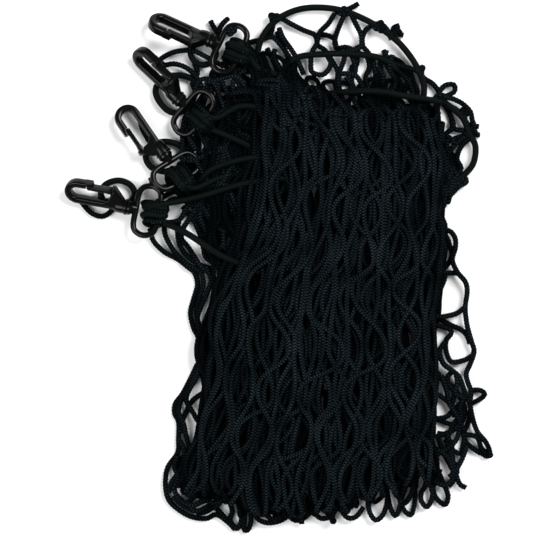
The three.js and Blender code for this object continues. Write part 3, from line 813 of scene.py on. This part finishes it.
# Each stretch that is drawn together runs from an edge to a root, in photo pixels with heights in mm
SHOULDER_EDGE = [(216, 66, 7), (206, 84, 7), (202, 100, 7), (194, 122, 7), (190, 140, 7), (188, 158, 7),
                 (182, 174, 7), (188, 190, 6), (206, 212, 6), (214, 236, 6), (220, 256, 6)]
SHOULDER_ROOT = [(284, 78, 10), (284, 92, 10), (284, 108, 10), (282, 124, 10), (282, 140, 10),
                 (280, 156, 10), (278, 172, 10), (274, 190, 10), (266, 212, 10), (254, 238, 10),
                 (246, 260, 10)]
LOWER_INSET = 4
LOWER_EDGE_Z = 2.2
LOWER_ROOT_Z = 3.0
LOWER_EDGE = [(px + LOWER_INSET, py, LOWER_EDGE_Z) for px, py, z in SHOULDER_EDGE]
LOWER_ROOT = [(px, py, LOWER_ROOT_Z) for px, py, z in SHOULDER_ROOT]
BLADE_EDGE = [(206, 90, 5), (226, 72, 6), (256, 70, 7), (282, 80, 8)]
BLADE_ROOT = [(196, 196, 5), (214, 240, 6), (236, 262, 7), (268, 232, 9)]
LEG_EDGE = [(252, 68, 8), (270, 60, 8), (298, 62, 8)]
LEG_ROOT = [(262, 124, 16), (292, 122, 19), (326, 118, 19)]
CROWN_EDGE = [(304, 80, 6), (330, 85, 5), (356, 87, 5), (380, 84, 5), (424, 96, 5)]
CROWN_ROOT = [(300, 118, 12), (340, 122, 13), (384, 124, 13), (426, 132, 12)]
HAUNCH_EDGE = [(372, 60, 4), (392, 58, 4), (414, 70, 4)]
HAUNCH_ROOT = [(374, 106, 6), (398, 108, 6), (422, 106, 6)]
FLANK_EDGE = [(432, 116, 8), (446, 140, 6), (460, 146, 5)]
FLANK_ROOT = [(434, 208, 12), (442, 204, 8), (450, 194, 5)]

# The stretches in each piece, with their numbers of strands and rows
SHOULDER = [(SHOULDER_EDGE, SHOULDER_ROOT, 10, 4), (LOWER_EDGE, LOWER_ROOT, 26, 5),
            (BLADE_EDGE, BLADE_ROOT, 12, 6)]
CROWN = [(LEG_EDGE, LEG_ROOT, 9, 4), (CROWN_EDGE, CROWN_ROOT, 17, 3), (HAUNCH_EDGE, HAUNCH_ROOT, 6, 3)]
FLANK = [(FLANK_EDGE, FLANK_ROOT, 7, 5)]

# Loose meshes, loops and ends at the bundle's edges: routes given in photo pixels
ARCH_CORDS = [
    [(282, 17), (290, 22), (304, 29), (314, 33), (317, 38), (317, 44)],
    [(335, 12), (329, 22), (321, 30), (318, 38), (318, 44), (326, 50), (333, 61), (338, 71), (337, 84),
     (338, 96), (336, 108)],
    [(317, 43), (312, 52), (311, 62), (312, 71), (320, 74), (326, 72), (331, 63), (327, 54)],
    [(319, 33), (327, 34), (334, 37), (336, 42), (337, 47), (346, 46), (354, 48), (361, 45)],
    [(345, 13), (340, 24), (336, 35), (335, 42), (337, 48)],
    [(351, 13), (356, 23), (361, 33), (362, 40), (361, 46), (352, 50), (346, 51), (344, 60), (340, 71),
     (339, 84), (341, 96), (344, 108)],
    [(363, 44), (363, 36), (367, 28), (375, 23), (382, 23), (388, 29), (392, 38)],
    [(362, 38), (363, 45), (369, 52), (374, 60), (376, 72), (384, 84), (388, 96), (390, 106)],
    [(340, 73), (348, 73), (356, 75), (362, 84), (366, 96), (368, 106)],
    [(352, 70), (353, 65), (357, 64), (358, 57), (360, 50)],
    [(384, 49), (388, 57), (394, 66), (402, 73), (410, 82), (414, 95)],
    [(372, 55), (384, 58), (398, 64), (412, 68), (422, 72)],
    [(368, 56), (370, 66), (366, 78), (371, 92)],
    [(352, 54), (356, 68), (352, 80), (357, 94)],
    [(393, 54), (390, 68), (396, 80), (392, 94)],
    [(405, 66), (398, 76), (402, 88), (398, 98)],
    [(346, 76), (352, 84), (348, 94)],
    [(378, 66), (384, 76), (380, 90)],
    [(240, 46), (250, 41), (262, 38), (270, 33), (273, 24), (274, 15)],
    [(262, 38), (272, 36), (280, 43), (288, 54), (296, 66)],
    [(279, 27), (283, 37), (290, 47), (297, 58), (304, 74)],
    [(277, 30), (281, 41), (287, 53), (292, 68), (300, 84)],
    [(267, 47), (271, 55), (276, 66), (282, 80)],
    [(275, 48), (274, 56), (279, 66), (286, 80)],
    [(335, 11), (345, 9), (352, 6), (359, 2)],
    [(387, 49), (386, 56), (392, 64), (400, 72)],
    [(392, 33), (398, 29), (397, 23)],
    [(394, 36), (399, 33), (404, 34)],
]
RIGHT_CORDS = [
    [(421, 66), (424, 76), (434, 83), (440, 92), (439, 99)],
    [(439, 99), (441, 90), (447, 84), (455, 84), (455, 91), (447, 95), (439, 98), (430, 99)],
    [(444, 96), (453, 98), (463, 103), (471, 111), (473, 120), (476, 127)],
    [(440, 98), (447, 106), (452, 116), (454, 126), (446, 134), (441, 139)],
    [(446, 104), (456, 108), (464, 116), (470, 124), (480, 126)],
    [(436, 104), (437, 114), (437, 122), (441, 132), (440, 142)],
    [(481, 134), (470, 134), (458, 137), (447, 142), (438, 150)],
    [(474, 128), (466, 130), (456, 128), (452, 120)],
    [(430, 100), (422, 108), (418, 120), (424, 134), (420, 148)],
    [(428, 104), (434, 112), (430, 124), (434, 138), (430, 152)],
    [(470, 138), (462, 146), (458, 158), (462, 168), (456, 178)],
    [(466, 136), (452, 148), (448, 160), (452, 172), (446, 184)],
    [(440, 148), (446, 158), (440, 170), (445, 182), (438, 194)],
    [(460, 179), (466, 178), (467, 182), (460, 186), (454, 192), (446, 200)],
    [(456, 176), (452, 186), (446, 196), (440, 208)],
    [(434, 150), (428, 162), (434, 174), (428, 188), (433, 202)],
    [(444, 202), (442, 214), (446, 226), (443, 238), (446, 250), (442, 264), (446, 276), (441, 290)],
    [(445, 229), (452, 232), (456, 239), (456, 248), (453, 260), (458, 272), (466, 282), (468, 292),
     (466, 308), (468, 326), (472, 341), (475, 351), (472, 362), (467, 374), (469, 384), (472, 392),
     (471, 403), (473, 417), (478, 432), (486, 442), (490, 450), (491, 457)],
    [(444, 232), (448, 238), (451, 246), (453, 254), (451, 261), (445, 269)],
    [(459, 273), (451, 273), (444, 273), (430, 270)],
    [(467, 306), (460, 312), (453, 315), (441, 317), (426, 316)],
    [(428, 314), (440, 319), (453, 326), (462, 330), (468, 336), (471, 344)],
    [(426, 322), (439, 326), (446, 328), (451, 330), (452, 334), (447, 341), (447, 352), (452, 362),
     (464, 361), (473, 356), (475, 351)],
    [(446, 342), (440, 352), (444, 364), (453, 371), (460, 378), (467, 396), (471, 404)],
    [(472, 391), (481, 391), (486, 395), (481, 400), (471, 405)],
    [(455, 371), (449, 377), (450, 386), (455, 393), (453, 408), (456, 418)],
    [(456, 372), (458, 383), (456, 394), (464, 398), (461, 408), (462, 421), (456, 430)],
    [(491, 457), (486, 456), (478, 452), (468, 444), (465, 435), (470, 422), (472, 410)],
    [(487, 454), (482, 448), (478, 438), (466, 435)],
    [(441, 375), (447, 390), (450, 404), (458, 416), (464, 430)],
    [(438, 420), (448, 424), (458, 428), (465, 436), (464, 448), (462, 455), (453, 450), (446, 440)],
    [(438, 434), (446, 436), (452, 444), (453, 455), (455, 468), (460, 484), (467, 489)],
    [(468, 446), (463, 459), (457, 470), (450, 478)],
    [(440, 440), (444, 452), (451, 466), (456, 478), (450, 488)],
    [(432, 368), (448, 382), (456, 390), (462, 400), (466, 412), (462, 424), (452, 432), (436, 438)],
    [(430, 390), (446, 400), (454, 410), (460, 424), (458, 438), (450, 448), (436, 456)],
    [(470, 396), (462, 404), (454, 412), (446, 418), (432, 420)],
    [(466, 412), (458, 420), (452, 430), (448, 444), (452, 458), (458, 472), (452, 482)],
    [(430, 446), (446, 456), (452, 466), (454, 478), (446, 486), (434, 482)],
]
FOOT_CORDS = [
    [(441, 470), (438, 481), (434, 489), (437, 499), (446, 506), (449, 497), (445, 486), (440, 474)],
    [(428, 472), (426, 486), (422, 494), (422, 502), (428, 508), (433, 498), (432, 488), (428, 476)],
    [(408, 480), (404, 490), (401, 499), (404, 505), (411, 496), (416, 484)],
    [(398, 492), (402, 506), (406, 513), (412, 516), (415, 507), (416, 492), (412, 478)],
    [(388, 496), (391, 509), (396, 517), (400, 509), (402, 496)],
    [(368, 500), (370, 513), (376, 521), (383, 516), (387, 505), (388, 492)],
    [(332, 505), (333, 522)],
    [(275, 506), (275, 525)],
    [(300, 508), (302, 525)],
    [(245, 512), (244, 524), (244, 531), (248, 531), (251, 521), (250, 508)],
    [(254, 506), (255, 515), (259, 521), (268, 524), (280, 522), (290, 516)],
    [(262, 504), (265, 513), (271, 519), (282, 517), (286, 508)],
    [(286, 506), (290, 518), (298, 522), (308, 516), (312, 506)],
    [(312, 510), (320, 519), (330, 518), (338, 508)],
    [(340, 508), (347, 518), (356, 518), (364, 508)],
    [(228, 500), (232, 512), (230, 522), (237, 530), (241, 522), (240, 510)],
]
LEFT_CORDS = [
    [(149, 228), (153, 241), (164, 252), (177, 259), (186, 266), (194, 273), (197, 285), (193, 300),
     (190, 313), (193, 328), (198, 339), (200, 356), (194, 371), (183, 393), (175, 404), (174, 414),
     (178, 423), (178, 439), (177, 454), (167, 469), (165, 488), (170, 504), (188, 517), (205, 520),
     (216, 516), (227, 523), (235, 531)],
    [(164, 219), (164, 232), (169, 244), (177, 255), (188, 265), (200, 272), (203, 284), (199, 298),
     (196, 312), (199, 326), (204, 338), (203, 354), (199, 368), (190, 386), (181, 400), (178, 412),
     (183, 424), (186, 438), (190, 448), (204, 452)],
    [(206, 266), (211, 280), (207, 292), (202, 304), (197, 318), (200, 330), (210, 340), (222, 348)],
    [(178, 221), (177, 232), (179, 244), (186, 255), (198, 264), (214, 270)],
    [(200, 200), (190, 217), (183, 228), (181, 238), (187, 246), (193, 255), (202, 268), (214, 276)],
    [(160, 206), (162, 220), (170, 222), (180, 219), (186, 208), (196, 196)],
    [(182, 206), (194, 222), (200, 236), (203, 248), (206, 258), (218, 266)],
    [(198, 200), (200, 218), (205, 230), (206, 244), (212, 256), (222, 262)],
    [(204, 358), (196, 378), (188, 392), (186, 402), (192, 412), (200, 424), (216, 434)],
    [(206, 392), (196, 398), (190, 404), (186, 412), (182, 422), (180, 434)],
    [(178, 439), (184, 452), (182, 466), (176, 476), (170, 486), (168, 494)],
    [(177, 456), (174, 468), (178, 478), (174, 490), (180, 500), (192, 506), (208, 500)],
    [(182, 448), (190, 462), (186, 478), (192, 492), (206, 498)],
    [(186, 506), (194, 498), (204, 495), (220, 492)],
    [(190, 510), (203, 501), (214, 504), (228, 498)],
    [(196, 515), (206, 513), (214, 509), (222, 516), (231, 526), (238, 531)],
    [(172, 498), (186, 509), (198, 512), (210, 506), (224, 498)],
    [(214, 510), (224, 500), (236, 498), (246, 490)],
]
HOOK_CORDS = [
    [(210, 19), (213, 25), (217, 31), (222, 40)],
    [(228, 17), (223, 22), (219, 29), (218, 40)],
    [(224, 66), (215, 61), (206, 56), (193, 50), (180, 50), (169, 53), (160, 59), (164, 64), (174, 63),
     (186, 67), (196, 76), (202, 87)],
    [(194, 62), (197, 72), (192, 82), (196, 92)],
    [(226, 52), (234, 46), (240, 45)],
    [(222, 60), (228, 68), (236, 72), (246, 70)],
    [(236, 50), (243, 56), (242, 66), (250, 72)],
    [(139, 120), (142, 129), (147, 138), (152, 146)],
    [(150, 177), (153, 184), (161, 187), (169, 184), (174, 176), (181, 167), (188, 160)],
    [(156, 202), (165, 195), (176, 190), (188, 186)],
    [(160, 210), (170, 200), (180, 199), (190, 204)],
    [(186, 130), (190, 140), (196, 150)],
    [(184, 146), (190, 152), (188, 160), (194, 168)],
]
CAUGHT_CORDS = [
    [(77, 196), (83, 205), (91, 213), (101, 216), (109, 212), (113, 205)],
]
# Knots in the border cords: photo pixel, then height and radius in millimetres
KNOTS = [(274, 17, 6, 3.2), (344, 11, 6, 2.8), (380, 26, 6, 3.4), (396, 31, 5, 3.4), (421, 69, 5, 2.6),
         (441, 98, 5, 3.4), (471, 130, 5, 3.8), (466, 112, 5, 3.0), (463, 179, 4, 2.4), (489, 455, 3, 2.4),
         (231, 30, 8, 2.8)]
KNOT_CORD = 2.6
KNOT_TURN = 15
KNOT_HEIGHT = 1.2
KNOT_STEP = 1.2
LOBE_REACH = 3
LOOSE_CORD = 3.3
LOOSE_LEVELS = 3
LOOSE_RISE = 1.6
LOOSE_SHIFT = 0.5
BEAD = 0.08


def loose_lines(routes, low):
    """Lines along the routes: each rises and falls a little, so that those that cross lie over and under."""
    lines = []
    for number, places in enumerate(routes):
        level = LOOSE_RISE * (number % LOOSE_LEVELS)
        heights = low + level + rng.normal(0, LOOSE_SHIFT, len(places))
        lines.append(smooth([at(px, py, z) for (px, py), z in zip(places, heights)], STITCH / 2))
    return lines


def knot_line(px, py, z, radius):
    """A tight three-lobed knot."""
    middle = np.array(at(px, py, z))
    turn = rng.uniform(0, 2 * math.pi)
    points = []
    for t in np.radians(np.arange(0, 360, KNOT_TURN)):
        x, y = math.sin(t) + 2 * math.sin(2 * t), math.cos(t) - 2 * math.cos(2 * t)
        turned_x = x * math.cos(turn) - y * math.sin(turn)
        turned_y = x * math.sin(turn) + y * math.cos(turn)
        points.append((turned_x, turned_y, -math.sin(3 * t)))
    size = (radius / LOBE_REACH, radius / LOBE_REACH, KNOT_HEIGHT)
    return smooth(middle + np.array(points) * size, KNOT_STEP, closed=True)


def net_piece(name, lines, material, diameter=CORD, bead=0.0, body="bundle"):
    for line in lines:
        line[:, 2] = np.maximum(line[:, 2], diameter / 2)
    return cord_piece(name, lines, diameter, CORD_SIDES, material, body, bead)


def cord_turns(hook):
    return eye_turns(hook, CORD_TURNS, CORD_SPREAD, CORD)


def loose_piece(name, routes, low, body="bundle"):
    return net_piece(name, loose_lines(routes, low), border_material, LOOSE_CORD, BEAD, body)


def gathered_piece(name, stretches, material):
    lines = [line for stretch in stretches for line in gathered_net(*stretch)]
    return net_piece(name, lines, material)


# Four nets lie in one another, each with its number of strands and how far it is raised
STRIPS = {"net_first": (16, 0.0), "net_second": (14, 1.1), "net_third": (12, 2.2), "net_fourth": (11, 3.3)}
strips = {name: folded_net(strands, raised) for name, (strands, raised) in STRIPS.items()}
strip_pieces = {name: net_piece(name, lines, cord_material) for name, lines in strips.items()}
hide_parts("net")

# What goes with each net
loose_pieces = {
    "net_first": [
        gathered_piece("net_shoulder", SHOULDER, border_material),
        loose_piece("net_corner", LEFT_CORDS, low=2.4),
        loose_piece("net_at_hooks", HOOK_CORDS, low=2.6),
    ],
    "net_second": [
        loose_piece("net_arch", ARCH_CORDS, low=3.0),
        gathered_piece("net_crown", CROWN, cord_material),
    ],
    "net_third": [
        loose_piece("net_side", RIGHT_CORDS, low=2.4),
        gathered_piece("net_flank", FLANK, border_material),
        loose_piece("net_foot", FOOT_CORDS, low=3.0),
        net_piece("net_knots", [knot_line(*knot) for knot in KNOTS], border_material, KNOT_CORD),
    ],
    "net_fourth": [
        net_piece("net_hitches", [turn for hook in HOOKS for turn in cord_turns(hook)], cord_material),
        loose_piece("net_caught", CAUGHT_CORDS, low=2.6, body="hook_4"),
    ],
}

# Floor and light, with sizes in metres
FLOOR_SIDE = 6.0
FLOOR_LOOK = dict(color=(0.9, 0.9, 0.9), roughness=0.9, specular=0.1)
SKY_STRENGTH = 0.3
bpy.ops.mesh.primitive_plane_add(size=FLOOR_SIDE)
floor = bpy.context.object
floor.name = "floor"
floor.data.materials.append(make_material("floor", **FLOOR_LOOK)[0])

world = bpy.data.worlds.new("world")
world.use_nodes = True
sky = world.node_tree.nodes["Background"]
set_inputs(world, sky, {"Color": (1, 1, 1, 1), "Strength": SKY_STRENGTH})
bpy.context.scene.world = world


def area_light(name, place, size, power):
    data = bpy.data.lights.new(name, "AREA")
    data.shape = "DISK"
    data.size = size
    data.energy = power
    light = add_object(name, data)
    light.location = place
    light.rotation_euler = (-Vector(place)).to_track_quat("-Z", "Y").to_euler()


area_light("key", place=(0.9, 0.8, 1.5), size=1.0, power=44)
area_light("fill", place=(-1.2, -0.5, 1.5), size=1.4, power=34)
bpy.context.scene.view_settings.view_transform = "Standard"
